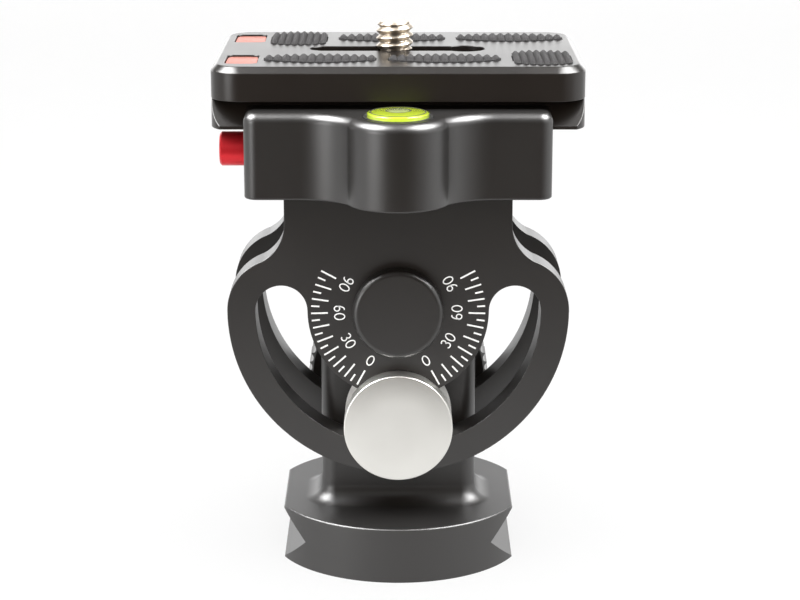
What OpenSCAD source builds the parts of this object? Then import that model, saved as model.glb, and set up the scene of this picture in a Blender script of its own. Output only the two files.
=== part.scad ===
// Monopod tilt head with a dovetail quick-release clamp. Millimetres, +Z up.
// X runs along the camera plate, Y from front to back. The origin is the middle of the underside.

/* [Base and post] */
// Radius of the round base
base_r = 21.7; // [21:0.1:26]
// Width across the two dovetail flats of the base
base_w = 39; // [36:0.1:41]
// Thickness of the base
base_t = 9.4; // [9:0.1:9.4]
// Depth of the V groove in each dovetail flat
groove_depth = 3.8; // [2:0.1:4.2]
// Height of the V groove's deepest line
groove_z = 4.7; // [4:0.1:5.2]
// Flat lip above and below the V groove
groove_lip = 0.3; // [0.2:0.1:1]
// Chamfer round the top edge of the base
base_chamfer = 0.2; // [0.2:0.1:0.9]
// Width of the post
post_w = 26.2; // [22:0.1:27]
// Depth of the post, front to back
post_d = 12.6; // [11:0.1:14]
// How far the post stands in front of the base's middle
post_forward = 1.2; // [0:0.1:2]
// Radius on the post's upright edges
post_corner = 2.5; // [1:0.1:4]
// Radius of the fillet at the foot of the post
post_fillet = 3; // [1:0.1:3.5]
// Wall radius of the tripod thread in the base
thread_r = 3.97; // [3.9:0.01:4.1]
// Outer radius of the threaded steel bush
bush_r = 6.5; // [6:0.1:8]
// Length of the threaded steel bush
bush_l = 11; // [8:0.5:12]

/* [Tilt joint] */
// Height of the tilt axis above the underside
tilt_z = 45; // [44.8:0.1:50]
// Radius of the pivot axle
axle_r = 4; // [3:0.1:4.5]
// Wall of the bronze pivot bushes
bronze_wall = 1.5; // [1:0.1:2]
// Radius of the friction washers on the pivot axle
friction_r = 9.6; // [8:0.1:9.9]
// Gap between the post and each cheek
cheek_gap = 0.4; // [0.3:0.05:0.8]
// Radius of the round caps over the axle
cap_r = 7.45; // [6.5:0.05:8.5]
// How far the front cap stands proud of the cheek
cap_proud = 3; // [1.5:0.1:4]
// Rounded rim of the front cap
cap_round = 0.9; // [0.3:0.1:1.2]
// Depth of the caps' seats in the cheeks
cap_seat = 1.5; // [1:0.1:2]

/* [Cheeks] */
// Thickness of each cheek
cheek_t = 6.2; // [5:0.1:7]
// Radius of the middle of the arc slot
slot_r = 19.3; // [19:0.1:19.5]
// Width of the arc slot
slot_w = 8.6; // [8.2:0.1:9]
// Width of the rim outside the arc slot
rim_w = 4.65; // [3:0.05:6]
// Width of the neck that carries the clamp
neck_w = 37.4; // [34:0.1:38]
// Radius of the hollow between neck and rim
neck_fillet = 7; // [4:0.1:9]

/* [Tilt lock] */
// Radius of the lock bolt's shank
bolt_r = 4; // [3:0.1:4]
// Radius of the lock bolt's round head
bolt_head_r = 9.05; // [8:0.05:10]
// Thickness of the lock bolt's round head
bolt_head_t = 3.4; // [2:0.1:5]
// Chamfer on turned edges of the bolt head and caps
turned_edge = 0.3; // [0.1:0.1:0.5]
// Radius of the washers on the lock bolt
slot_washer_r = 9; // [8:0.1:9.3]
// Thickness of the thrust washer under the lock knob
thrust_t = 0.8; // [0.5:0.1:1.5]
// Radius of the lock knob over its ridges
knob_r = 16; // [14:0.1:16]
// Length of the lock knob
knob_l = 11.5; // [9:0.5:16]
// Number of grooves round the lock knob
knob_grooves = 60; // [40:1:64]
// Radius of the knob's brass insert
knob_insert_r = 6.5; // [5.5:0.1:8]

/* [Clamp] */
// Height of the clamp's underside above the tilt axis
clamp_rise = 20.9; // [20:0.1:26]
// Length of the clamp jaws
clamp_l = 49; // [44:0.5:54]
// Height of the clamp
clamp_h = 13.9; // [13.3:0.1:14.1]
// Thickness of the clamp under the plate
floor_t = 10.3; // [10.1:0.1:10.6]
// Depth of the fixed jaw in front of the dovetail
jaw_wall = 5.2; // [4:0.1:8]
// Depth of the moving jaw behind the dovetail
back_wall = 7.5; // [6:0.1:10]
// Where the fixed part of the clamp ends, behind the middle of the plate
clamp_back = 13.5; // [12.5:0.1:15]
// Gap between the fixed part and the moving jaw when closed
jaw_gap = 0.6; // [0.4:0.1:1.5]
// Radius on the clamp's upright edges
clamp_corner = 2.2; // [1:0.1:3]
// Radius of the round nose that holds the level
nose_r = 8.2; // [7.8:0.1:9]
// How far the middle of the nose lies in front of the fixed jaw
nose_out = 1.6; // [1.2:0.1:3]
// Radius of the hollows that lead into the nose
nose_blend = 9.5; // [6:0.1:10]
// Radius of the round level's vial
vial_r = 4.9; // [4:0.1:5]
// Wall of the level's cup
cup_wall = 0.5; // [0.4:0.1:0.8]
// Depth of the level's pocket
cup_depth = 5; // [4:0.1:6]
// How far the vial stands above the clamp
vial_proud = 0.6; // [0.2:0.1:0.8]
// How far the level lies ahead of the nose's middle
level_ahead = 0.6; // [0:0.1:1]
// Height of the clamp stud and guide pins above the clamp's underside
stud_rise = 5; // [4.5:0.1:5.4]
// Radius of the clamp stud
stud_r = 3; // [2.5:0.1:3.5]
// Radius of the guide pins
guide_r = 2; // [1.5:0.1:2.2]
// Distance of the guide pins from the middle
guide_x = 17; // [14:0.1:19]
// Radius of the clamp knob over its ridges
clamp_knob_r = 10; // [8:0.1:12]
// Length of the clamp knob
clamp_knob_l = 12; // [9:0.5:15]
// Number of grooves round the clamp knob
clamp_knob_grooves = 36; // [24:1:40]
// Distance of the cheek screws from the middle
cheek_screw_x = 6.5; // [6.4:0.1:7]

/* [Safety catch] */
// Radius of the push button
button_r = 2.8; // [2.2:0.1:2.8]
// How far the button stands out of the clamp
button_out = 4.5; // [3.5:0.1:6]
// Travel of the button
button_travel = 2.5; // [2:0.1:2.5]
// Height of the button above the clamp's underside
button_rise = 6; // [5.4:0.1:6]
// Distance of the button in front of the middle of the plate
button_y = 12; // [11.6:0.1:12.4]
// Drop of the stop pin when the button is pressed
pin_drop = 1.6; // [1.2:0.1:1.6]
// Radius of the stop pin
pin_r = 1.8; // [1.2:0.1:2]
// How far the stop pin stands above the clamp's floor
pin_proud = 1.3; // [0.8:0.1:1.4]

/* [Camera plate] */
// Length of the camera plate
plate_l = 60; // [58:0.5:80]
// Width of the camera plate
plate_w = 41.4; // [40.4:0.1:43]
// Thickness of the camera plate
plate_t = 10.2; // [9.6:0.1:12]
// Thickness of the flange above the dovetail
flange_t = 5.5; // [5:0.1:5.8]
// Width across the dovetail's foot
dove_w = 38.4; // [37:0.1:38.6]
// Upright edge at the dovetail's foot
dove_lip = 0.5; // [0.3:0.1:0.8]
// Radius of the plate's corners
plate_corner = 5; // [2:0.1:7]
// Chamfer round the plate's top
plate_chamfer = 1; // [0.4:0.1:1.2]
// How far the plate can slide each way before the stop pin holds it
plate_travel = 8; // [4:0.5:8]
// Left end of the screw slot
slot_left = -14.7; // [-16:0.1:-12]
// Right end of the screw slot
slot_right = 14.4; // [14:0.1:16]
// Width of the screw slot
screw_slot_w = 5; // [4.4:0.1:5.6]
// Thickness of the plate above the screw head's pocket
web_t = 4.7; // [4:0.1:5.4]
// Height of the rubber pads above the plate
pad_proud = 0.6; // [0.3:0.1:1]
// Depth of the pockets for the rubber pads
pad_seat = 0.8; // [0.5:0.1:1.2]
// Length of the narrow pads
narrow_l = 18; // [16:0.1:18]
// Width of the narrow pads
narrow_w = 7.6; // [6:0.1:8]
// Length of the wide pads
wide_l = 9.4; // [8:0.1:9.6]
// Width of the wide pads
wide_w = 15; // [12:0.1:15.2]
// Distance of the narrow pads and the inserts from the plate's middle line
pad_y = 11.8; // [11.6:0.1:12]
// Distance of the wide pads from the plate's middle line
wide_y = 10.9; // [10.7:0.1:11.2]
// Length of the coloured inserts along the plate
insert_l = 5; // [4:0.1:5.6]
// Width of the coloured inserts
insert_w = 8.8; // [7:0.1:9.5]
// Depth of the coloured inserts below the plate's top
insert_sunk = 0.5; // [0.3:0.1:1]
// Thickness of the coloured inserts
insert_t = 1.2; // [0.8:0.1:1.6]

/* [Camera screw] */
// Radius of the quarter-inch thread
screw_r = 3.175; // [3.1:0.005:3.25]
// How far the screw stands above the plate
screw_up = 4.6; // [3:0.1:6]
// Radius of the necked shank in the slot
neck_r = 2.35; // [1.8:0.05:2.4]
// Radius of the screw's head
head_r = 5.5; // [5:0.1:5.8]
// Thickness of the screw's head
head_t = 2.8; // [2:0.1:3.2]
// Where the screw stands along the slot
screw_x = -0.6; // [-6:0.1:4]
// Thickness of the washer under the plate
screw_washer_t = 0.8; // [0.5:0.1:1]

/* [Hidden] */
$fn = 64;
// Radial clearance of every pin, bush and fitted piece in its hole
fit = 0.05;
// Gap between flat faces that slide or bear on each other
slide_gap = 0.1;
// Extra length that carries a cut clear of the face it opens
over = 1;
// Side play of the pads, inserts and pockets
seat_gap = 0.1;
// How far one solid runs into another that it is joined to
join = 0.4;
// How far a hollow's arc runs into the round that it meets
sink = 0.05;
// How far the hollows beside the nose run into it, which leaves a crease
nose_sink = 0.2;

post_y = -post_forward;
front_in = post_y - post_d / 2 - cheek_gap;
front_out = front_in - cheek_t;
rear_in = post_y + post_d / 2 + cheek_gap;
rear_out = rear_in + cheek_t;
washer_t = cheek_gap - 2 * fit;
washer_hole = bolt_r + fit;

lock_z = tilt_z - slot_r;
rim_r = slot_r + slot_w / 2 + rim_w;
lobe_r = rim_w + slot_w / 2;
fillet_x = neck_w / 2 + neck_fillet;
fillet_z = sqrt(pow(lobe_r + neck_fillet - sink, 2) - pow(fillet_x - slot_r, 2));
bronze_r = axle_r + fit + bronze_wall;
cap_lip = 0.9;
cap_spigot_r = cap_r - cap_lip;
axle_front = front_out + cap_seat + slide_gap;
axle_rear = rear_out - cap_seat - slide_gap;

thrust_y = rear_out + fit;
knob_y = thrust_y + thrust_t + fit;
knob_wall = 2;
knob_cap_t = 1.6;
knob_chamfer = 0.8;
knob_groove_r = 0.75;
knob_groove_depth = 0.55;
bolt_end = knob_y + knob_l - knob_cap_t - knob_wall;

clamp_z = tilt_z + clamp_rise;
clamp_top = clamp_z + clamp_h;
floor_z = clamp_z + floor_t;
plate_z = floor_z + slide_gap;
plate_top = plate_z + plate_t;
flange_z = plate_top - flange_t;
channel_y = dove_w / 2 + slide_gap;
clamp_front = channel_y + jaw_wall;
nose_y = clamp_front + nose_out;
blend_y = clamp_front + nose_blend;
blend_x = sqrt(pow(nose_r + nose_blend - nose_sink, 2) - pow(blend_y - nose_y, 2));
level_y = -nose_y - level_ahead;
cup_r = vial_r + fit + cup_wall;
jaw_front = clamp_back + jaw_gap;
jaw_rear = channel_y + back_wall;
stud_z = clamp_z + stud_rise;
stud_depth = 11;
stud_start = clamp_back - stud_depth;
guide_cover = 2;
guide_end = jaw_rear - guide_cover;
spring_seat = 4;
spring_wire = 0.4;
spring_turns = 4;
guide_spring_r = guide_r + fit + slide_gap + spring_wire / 2;
jaw_washer_t = 0.8;
jaw_washer_r = 6;
clamp_knob_y = jaw_rear + jaw_washer_t + 2 * fit;
clamp_insert_r = 5;
stud_end = clamp_knob_y + clamp_knob_l - knob_cap_t - knob_wall;
screw_shank_r = 1.5;
screw_head_r = 2.75;
screw_head_t = 3;
screw_grip = 9;
front_screw_y = (front_in + front_out) / 2;
rear_screw_y = (rear_in + rear_out) / 2;

button_z = clamp_z + button_rise;
button_step = 0.6;
button_bore_r = button_r + button_step;
button_bush_r = button_bore_r + join;
button_flange_t = 1;
button_neck_r = 1;
cam_r = button_neck_r + pin_drop;
cam_tip = 0.8;
clamp_left = -clamp_l / 2;
button_wall = 0.95;
collar_l = 1.4;
spring_solid = spring_turns * spring_wire;
button_bore_end = -cheek_screw_x - screw_head_r - button_wall;
button_end = button_bore_end - spring_solid - button_travel;
cam_end = button_end - collar_l;
cam_x = cam_end - button_travel;
flange_x = cam_x - join - pin_r - button_flange_t;
button_bush_l = flange_x - slide_gap - clamp_left;
pin_x = cam_end;
cam_slope = atan(pin_drop / button_travel);
pin_foot = button_z + cam_r + cam_tip / cos(cam_slope) - cam_tip + fit;
pin_top = floor_z + pin_proud;
groove_play = 0.3;
pin_groove_d = pin_proud + groove_play;
pin_groove_w = 2 * (pin_r + groove_play);

entry_play = 0.15;
entry_r = screw_r + entry_play;
entry_x = slot_right - entry_r;
head_play = 0.7;
pocket_r = head_r + head_play;
pocket_z = plate_top - web_t;
washer_z = pocket_z - slide_gap - screw_washer_t;
head_z = washer_z - fit - head_t;
pad_gap = 2.1;
pad_margin = 8.4;
pad_left = -plate_l / 2 + pad_margin;
insert_margin = 4.75;
insert_x = -plate_l / 2 + insert_margin;
narrow_bow = 2.6;
wide_bow = 2.2;
insert_corner = 1;
pad_lower_x = pad_left + narrow_l / 2;
pad_upper_x = pad_left + wide_l + pad_gap + narrow_l / 2;
pad_step = narrow_l + pad_gap;

anodised = "#2d2b29";
steel = "#c9c8c4";
silver = "#e2e0db";
brass = "#b99b52";
rubber = "#4c4b4c";
red = "#b5121f";

// Points along an arc about [x, y] from angle a0 to angle a1
function arc(x, y, r, a0, a1, steps = 20) =
    [for (i = [0:steps]) let (a = a0 + (a1 - a0) * i / steps) [x + r * cos(a), y + r * sin(a)]];

// A round bar along Y from y0 to y1
module y_bar(r, y0, y1, x = 0, z = 0)
    translate([x, y0, z]) rotate([-90, 0, 0]) cylinder(r = r, h = y1 - y0);

// A round bar along X from x0 to x1
module x_bar(r, x0, x1, y, z)
    translate([x0, y, z]) rotate([0, 90, 0]) cylinder(r = r, h = x1 - x0);

// A washer round an axis along Y
module y_washer(r, hole, y0, t, z)
    difference() {
        y_bar(r, y0, y0 + t, 0, z);
        y_bar(hole, y0 - over, y0 + t + over, 0, z);
    }

// An outline drawn in X and Z, carried from y0 to y1
module slab(y0, y1)
    translate([0, y1, 0]) rotate([90, 0, 0]) linear_extrude(y1 - y0) children();

// A section drawn in Y and Z, carried from x0 to x1
module beam(x0, x1)
    translate([x0, 0, 0]) rotate([90, 0, 90]) linear_extrude(x1 - x0) children();

// A rectangle with round corners, about the origin
module round_rect(l, w, r) {
    square([l, w - 2 * r], center = true);
    square([l - 2 * r, w], center = true);
    for (x = [-1, 1], y = [-1, 1])
        translate([x * (l / 2 - r), y * (w / 2 - r)]) circle(r = r);
}

// A turned disc along Y with chamfered rims, front face at y0
module turned_disc(r, y0, t, z, edge)
    translate([0, y0, z]) rotate([-90, 0, 0]) rotate_extrude()
        polygon([[0, 0], [r - edge, 0], [r, edge], [r, t - edge], [r - edge, t], [0, t]]);

// A knob along Y with round grooves cut along its rim
module knurled(r, y0, l, z, grooves)
    difference() {
        turned_disc(r, y0, l, z, knob_chamfer);
        for (i = [0:grooves - 1])
            translate([0, 0, z]) rotate([0, 360 * i / grooves, 0])
                y_bar(knob_groove_r, y0 - over, y0 + l + over, r + knob_groove_r - knob_groove_depth, 0);
    }

// A knurled knob with a stepped bore: shaft clearance, insert seat and cap seat
module screw_knob(r, y0, l, z, grooves, hole, insert_r, cap)
    difference() {
        knurled(r, y0, l, z, grooves);
        y_bar(hole + slide_gap, y0 - over, y0 + l, 0, z);
        y_bar(insert_r + fit, y0 + knob_wall, y0 + l + over, 0, z);
        y_bar(cap + fit, y0 + l - knob_cap_t, y0 + l + over, 0, z);
    }

// The threaded insert that fills a knob's seat
module knob_insert(y0, l, z, hole, insert_r)
    y_washer(insert_r, hole + fit, y0 + knob_wall + fit, l - knob_wall - knob_cap_t - 2 * fit, z);

// A coil spring standing on the origin along +Z: rings of six points climb the helix
module coil(r, wire, l, turns, steps = 8, sides = 6) {
    rings = turns * steps;
    points = [for (i = [0:rings], j = [0:sides - 1])
        let (a = 360 * i / steps, b = 360 * j / sides, d = r + wire / 2 * cos(b))
            [d * cos(a), d * sin(a), wire / 2 + (l - wire) * i / rings + wire / 2 * sin(b)]];
    walls = [for (i = [0:rings - 1], j = [0:sides - 1])
        let (k = (j + 1) % sides, p = i * sides, q = p + sides)
            each [[p + j, p + k, q + k], [p + j, q + k, q + j]]];
    ends = [[for (j = [sides - 1:-1:0]) j], [for (j = [0:sides - 1]) rings * sides + j]];
    polyhedron(points, concat(walls, ends));
}

// Base and post

// The dovetail section across the base, seen along Y
module base_section() {
    half = base_w / 2;
    top_lip = base_t - base_chamfer;
    right = [[half, 0], [half, groove_lip], [half - groove_depth, groove_z], [half, top_lip - groove_lip],
        [half, top_lip], [half - base_chamfer, base_t]];
    polygon(concat(right, [for (i = [len(right) - 1:-1:0]) [-right[i][0], right[i][1]]]));
}

// The hollow profile of the fillet at the post's foot, standing on the base
module foot_profile()
    difference() {
        translate([-join, -join]) square([post_fillet + join, post_fillet + join]);
        translate([post_fillet, post_fillet]) circle(r = post_fillet);
    }

// The fillet round the post's foot: four straight runs and four corners
module foot_fillet() {
    run_x = post_w - 2 * post_corner;
    run_y = post_d - 2 * post_corner;
    for (side = [0, 180]) rotate(side) {
        translate([post_w / 2, run_y / 2, 0]) rotate([90, 0, 0]) linear_extrude(run_y) foot_profile();
        translate([-run_x / 2, post_d / 2, 0]) rotate([90, 0, 90]) linear_extrude(run_x) foot_profile();
        translate([run_x / 2, run_y / 2, 0]) rotate_extrude(angle = 90)
            translate([post_corner, 0]) foot_profile();
        translate([-run_x / 2, run_y / 2, 0]) rotate(90) rotate_extrude(angle = 90)
            translate([post_corner, 0]) foot_profile();
    }
}

module base_post() color(anodised) difference() {
    union() {
        intersection() {
            rotate_extrude() polygon([[0, 0], [base_r, 0], [base_r, base_t - base_chamfer],
                [base_r - base_chamfer, base_t], [0, base_t]]);
            slab(-base_r - over, base_r + over) base_section();
        }
        translate([0, post_y, base_t]) foot_fillet();
        translate([0, post_y, base_t - join]) linear_extrude(tilt_z - base_t + join)
            round_rect(post_w, post_d, post_corner);
        translate([0, post_y, tilt_z]) rotate([-90, 0, 0]) rotate_extrude() intersection() {
            round_rect(post_w, post_d, post_corner);
            translate([0, -post_d]) square([post_w, 2 * post_d]);
        }
    }
    translate([0, 0, -over]) cylinder(r = bush_r + fit, h = bush_l + fit + over);
    y_bar(axle_r + fit, front_in - over, rear_in + over, 0, tilt_z);
    y_bar(bolt_r + fit, front_in - over, rear_in + over, 0, lock_z);
}

module thread_bush() color(steel) difference() {
    cylinder(r = bush_r, h = bush_l);
    translate([0, 0, -over]) cylinder(r = thread_r, h = bush_l + 2 * over);
}

// Tilt joint

module pivot_axle() color(steel) y_bar(axle_r, axle_front, axle_rear, 0, tilt_z);

module friction_washers() color(rubber) for (y0 = [front_in + fit, rear_in - cheek_gap + fit])
    y_washer(friction_r, axle_r + fit, y0, washer_t, tilt_z);

module lock_bolt() color(silver) {
    turned_disc(bolt_head_r, front_out - fit - bolt_head_t, bolt_head_t, lock_z, turned_edge);
    y_bar(bolt_r, front_out - fit - join, bolt_end, 0, lock_z);
}

module slot_washers() color(silver) for (y0 = [front_in + fit, rear_in - cheek_gap + fit])
    y_washer(slot_washer_r, washer_hole, y0, washer_t, lock_z);

module thrust_washer() color(steel) y_washer(slot_washer_r, washer_hole, thrust_y, thrust_t, lock_z);

module lock_knob() color(anodised)
    screw_knob(knob_r, knob_y, knob_l, lock_z, knob_grooves, bolt_r, knob_insert_r, slot_washer_r);

module lock_knob_insert() color(brass) knob_insert(knob_y, knob_l, lock_z, bolt_r, knob_insert_r);

module lock_knob_cap() color(anodised)
    turned_disc(slot_washer_r, knob_y + knob_l - knob_cap_t + fit, knob_cap_t, lock_z, turned_edge);

// Cheeks

// The cheek's outline about the tilt axis: rim, two round shoulders, neck and the hollows between
module cheek_outline() {
    intersection() {
        circle(r = rim_r);
        translate([-rim_r, -rim_r]) square([2 * rim_r, rim_r]);
    }
    translate([-neck_w / 2, -join]) square([neck_w, clamp_rise - slide_gap / 2 + join]);
    for (side = [-1, 1]) translate([side * slot_r, 0]) circle(r = lobe_r);
    turn = atan2(fillet_z, slot_r - fillet_x);
    polygon(concat([[-slot_r, 0], [slot_r, 0]], arc(fillet_x, fillet_z, neck_fillet, 360 - turn, 180),
        arc(-fillet_x, fillet_z, neck_fillet, 0, turn - 180)));
}

// The arc slot about the tilt axis, a half ring with round ends
module arc_slot() {
    intersection() {
        difference() {
            circle(r = slot_r + slot_w / 2);
            circle(r = slot_r - slot_w / 2);
        }
        translate([-rim_r, -rim_r]) square([2 * rim_r, rim_r]);
    }
    for (side = [-1, 1]) translate([side * slot_r, 0]) circle(r = slot_w / 2);
}

// One cheek between two planes, with its axle bore and the holes for its screws
module cheek(y0, y1)
    difference() {
        slab(y0, y1) translate([0, tilt_z]) difference() {
            cheek_outline();
            arc_slot();
        }
        y_bar(bronze_r + fit, y0 - over, y1 + over, 0, tilt_z);
        for (side = [-1, 1])
            translate([side * cheek_screw_x, (y0 + y1) / 2, clamp_z - screw_grip])
                cylinder(r = screw_shank_r + fit, h = screw_grip + over);
    }

module front_cheek() color(anodised) difference() {
    cheek(front_out, front_in);
    y_bar(cap_spigot_r + fit, front_out - over, front_out + cap_seat, 0, tilt_z);
}

module rear_cheek() color(anodised) difference() {
    cheek(rear_in, rear_out);
    y_bar(cap_spigot_r + fit, rear_out - cap_seat, rear_out + over, 0, tilt_z);
}

module pivot_bushes() color(brass) {
    y_washer(bronze_r, axle_r + fit, axle_front, front_in - axle_front, tilt_z);
    y_washer(bronze_r, axle_r + fit, rear_in, axle_rear - rear_in, tilt_z);
}

module pivot_cap_front() color(anodised)
    translate([0, front_out, tilt_z]) rotate([-90, 0, 0]) rotate_extrude() {
        translate([0, -cap_proud]) square([cap_r - cap_round, cap_proud]);
        translate([0, -cap_proud + cap_round]) square([cap_r, cap_proud - cap_round - fit]);
        translate([cap_r - cap_round, -cap_proud + cap_round]) intersection() {
            circle(r = cap_round);
            translate([0, -cap_round]) square(cap_round);
        }
        square([cap_spigot_r, cap_seat]);
    }

module pivot_cap_rear() color(anodised)
    turned_disc(cap_spigot_r, rear_out - cap_seat, cap_seat - fit, tilt_z, turned_edge);

// Clamp

// The fixed part of the clamp seen from above: two wings and the round nose between them
module clamp_plan() {
    translate([0, (clamp_back - clamp_front) / 2])
        round_rect(clamp_l, clamp_back + clamp_front, clamp_corner);
    translate([0, -nose_y]) circle(r = nose_r);
    turn = atan2(blend_y - nose_y, -blend_x);
    polygon(concat(arc(-blend_x, -blend_y, nose_blend, 90, 180 - turn), [[0, -nose_y]],
        arc(blend_x, -blend_y, nose_blend, turn, 90),
        [[blend_x, -clamp_front + join], [-blend_x, -clamp_front + join]]));
}

// The space of the plate's dovetail between the jaws, seen along X
module channel_section() {
    rise = clamp_top - floor_z - dove_lip;
    edge = [[channel_y, floor_z], [channel_y, floor_z + dove_lip],
        [channel_y - rise, clamp_top], [channel_y - rise, clamp_top + over]];
    polygon(concat(edge, [for (i = [len(edge) - 1:-1:0]) [-edge[i][0], edge[i][1]]]));
}

module clamp_body() color(anodised) difference() {
    translate([0, 0, clamp_z]) linear_extrude(clamp_h) clamp_plan();
    beam(-clamp_l, clamp_l) channel_section();
    translate([0, level_y, clamp_top - cup_depth]) cylinder(r = cup_r + fit, h = cup_depth + over);
    for (side = [-1, 1], y = [front_screw_y, rear_screw_y]) translate([side * cheek_screw_x, y, 0]) {
        translate([0, 0, clamp_z - over]) cylinder(r = screw_shank_r + fit, h = floor_t + 2 * over);
        translate([0, 0, floor_z - screw_head_t - slide_gap]) cylinder(r = screw_head_r + fit, h = clamp_h);
    }
    y_bar(stud_r + fit, stud_start - fit, clamp_back + over, 0, stud_z);
    for (side = [-1, 1]) {
        y_bar(guide_r + fit, stud_start - fit, clamp_back + over, side * guide_x, stud_z);
        y_bar(guide_spring_r + spring_wire, clamp_back - spring_seat, clamp_back + over,
            side * guide_x, stud_z);
    }
    x_bar(button_bush_r + fit, clamp_left - over, clamp_left + button_bush_l, -button_y, button_z);
    x_bar(button_bore_r, clamp_left, button_bore_end, -button_y, button_z);
    translate([pin_x, -button_y, button_z]) cylinder(r = pin_r + fit, h = clamp_h);
}

module cheek_screws() color(steel)
    for (side = [-1, 1], y = [front_screw_y, rear_screw_y]) translate([side * cheek_screw_x, y, 0]) {
        translate([0, 0, clamp_z - screw_grip + fit])
            cylinder(r = screw_shank_r, h = floor_t + screw_grip - screw_head_t);
        translate([0, 0, floor_z - screw_head_t - fit]) cylinder(r = screw_head_r, h = screw_head_t);
    }

module level_cup() color(anodised) translate([0, level_y, clamp_top - cup_depth + fit]) difference() {
    cylinder(r = cup_r, h = cup_depth - fit);
    translate([0, 0, cup_wall]) cylinder(r = vial_r + fit, h = cup_depth + over);
}

module level_vial() color("#d7f05a")
    translate([0, level_y, clamp_top - cup_depth + cup_wall + 2 * fit])
        cylinder(r = vial_r, h = cup_depth - cup_wall + vial_proud - 2 * fit);

module clamp_stud() color(steel) y_bar(stud_r, stud_start, stud_end, 0, stud_z);

module jaw_guide_pins() color(steel)
    for (side = [-1, 1]) y_bar(guide_r, stud_start, guide_end, side * guide_x, stud_z);

module jaw_springs() color(steel) for (side = [-1, 1])
    translate([side * guide_x, clamp_back - spring_seat + fit, stud_z]) rotate([-90, 0, 0])
        coil(guide_spring_r, spring_wire, spring_seat + jaw_gap - 2 * fit, spring_turns);

module button_bush() color(steel) difference() {
    x_bar(button_bush_r, clamp_left, clamp_left + button_bush_l - fit, -button_y, button_z);
    x_bar(button_r + fit, clamp_left - over, clamp_left + button_bush_l + over, -button_y, button_z);
}

module button_spring() color(steel)
    translate([button_end + fit, -button_y, button_z]) rotate([0, 90, 0])
        coil(cam_r - spring_wire, spring_wire, button_bore_end - button_end - 2 * fit, spring_turns);

module clamp_jaw() color(anodised) difference() {
    translate([0, (jaw_front + jaw_rear) / 2, clamp_z]) linear_extrude(clamp_h)
        round_rect(clamp_l, jaw_rear - jaw_front, clamp_corner);
    beam(-clamp_l, clamp_l) channel_section();
    y_bar(stud_r + slide_gap, jaw_front - over, jaw_rear + over, 0, stud_z);
    for (side = [-1, 1]) y_bar(guide_r + fit, jaw_front - over, guide_end + fit, side * guide_x, stud_z);
}

module jaw_washer() color(steel)
    y_washer(jaw_washer_r, stud_r + slide_gap, jaw_rear + fit, jaw_washer_t, stud_z);

module clamp_knob() color(anodised)
    screw_knob(clamp_knob_r, clamp_knob_y, clamp_knob_l, stud_z, clamp_knob_grooves,
        stud_r, clamp_insert_r, jaw_washer_r);

module clamp_knob_insert() color(brass)
    knob_insert(clamp_knob_y, clamp_knob_l, stud_z, stud_r, clamp_insert_r);

module clamp_knob_cap() color(anodised)
    turned_disc(jaw_washer_r, clamp_knob_y + clamp_knob_l - knob_cap_t + fit, knob_cap_t, stud_z,
        turned_edge);

// Safety catch

// One turned piece: rod, stop flange, thin neck, cam cone and guide collar
module safety_button() color(red)
    translate([0, -button_y, button_z]) rotate([0, 90, 0]) rotate_extrude() {
        start = clamp_left - button_out;
        polygon([[0, start], [button_r - turned_edge, start], [button_r, start + turned_edge],
            [button_r, flange_x], [button_bore_r - slide_gap, flange_x],
            [button_bore_r - slide_gap, flange_x + button_flange_t],
            [button_neck_r, flange_x + button_flange_t], [button_neck_r, cam_x], [cam_r, cam_end],
            [cam_r, button_end], [0, button_end]]);
    }

module safety_pin() color(steel) translate([pin_x, -button_y, 0]) rotate_extrude() {
    polygon([[0, pin_foot + cam_tip], [cam_tip, pin_foot + cam_tip], [pin_r, pin_foot + pin_r],
        [pin_r, pin_top - turned_edge], [pin_r - turned_edge, pin_top], [0, pin_top]]);
    translate([0, pin_foot + cam_tip]) intersection() {
        circle(r = cam_tip);
        translate([0, -cam_tip]) square(cam_tip);
    }
}

// Camera plate

// A slab with round corners and a chamfered top, standing on the origin
module chamfered_slab(l, w, h, r, edge) {
    long = l / 2 - r;
    wide = w / 2 - r;
    beam(-long, long) polygon([[-w / 2, 0], [w / 2, 0], [w / 2, h - edge], [w / 2 - edge, h],
        [-w / 2 + edge, h], [-w / 2, h - edge]]);
    slab(-wide, wide) polygon([[-l / 2, 0], [l / 2, 0], [l / 2, h - edge], [l / 2 - edge, h],
        [-l / 2 + edge, h], [-l / 2, h - edge]]);
    for (x = [-1, 1], y = [-1, 1]) translate([x * long, y * wide, 0])
        rotate_extrude() polygon([[0, 0], [r, 0], [r, h - edge], [r - edge, h], [0, h]]);
}

// The plate's section: flange above, dovetail below
module plate_section() {
    lip_z = plate_z + dove_lip;
    waist = dove_w / 2 - (flange_z - lip_z);
    edge = [[dove_w / 2, plate_z], [dove_w / 2, lip_z], [waist, flange_z], [plate_w / 2 + over, flange_z],
        [plate_w / 2 + over, plate_top + over]];
    polygon(concat(edge, [for (i = [len(edge) - 1:-1:0]) [-edge[i][0], edge[i][1]]]));
}

// A slot with round ends along X
module long_slot(x0, x1, w) {
    translate([x0 + w / 2, -w / 2]) square([x1 - x0 - w, w]);
    for (x = [x0 + w / 2, x1 - w / 2]) translate([x, 0]) circle(r = w / 2);
}

// The outline of one pad: a rectangle with bowed long sides
module pad_outline(l, w, bow) {
    r = (pow(l / 2, 2) + pow(bow, 2)) / (2 * bow);
    intersection() {
        square([l, w], center = true);
        translate([0, r - w / 2]) circle(r = r, $fn = 128);
        translate([0, w / 2 - r]) circle(r = r, $fn = 128);
    }
}

// Places its child at each narrow pad: two along the front, two along the back
module at_narrow_pads() {
    for (i = [0, 1]) {
        translate([pad_lower_x + i * pad_step, -pad_y]) children();
        translate([pad_upper_x + i * pad_step, pad_y]) children();
    }
}

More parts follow.
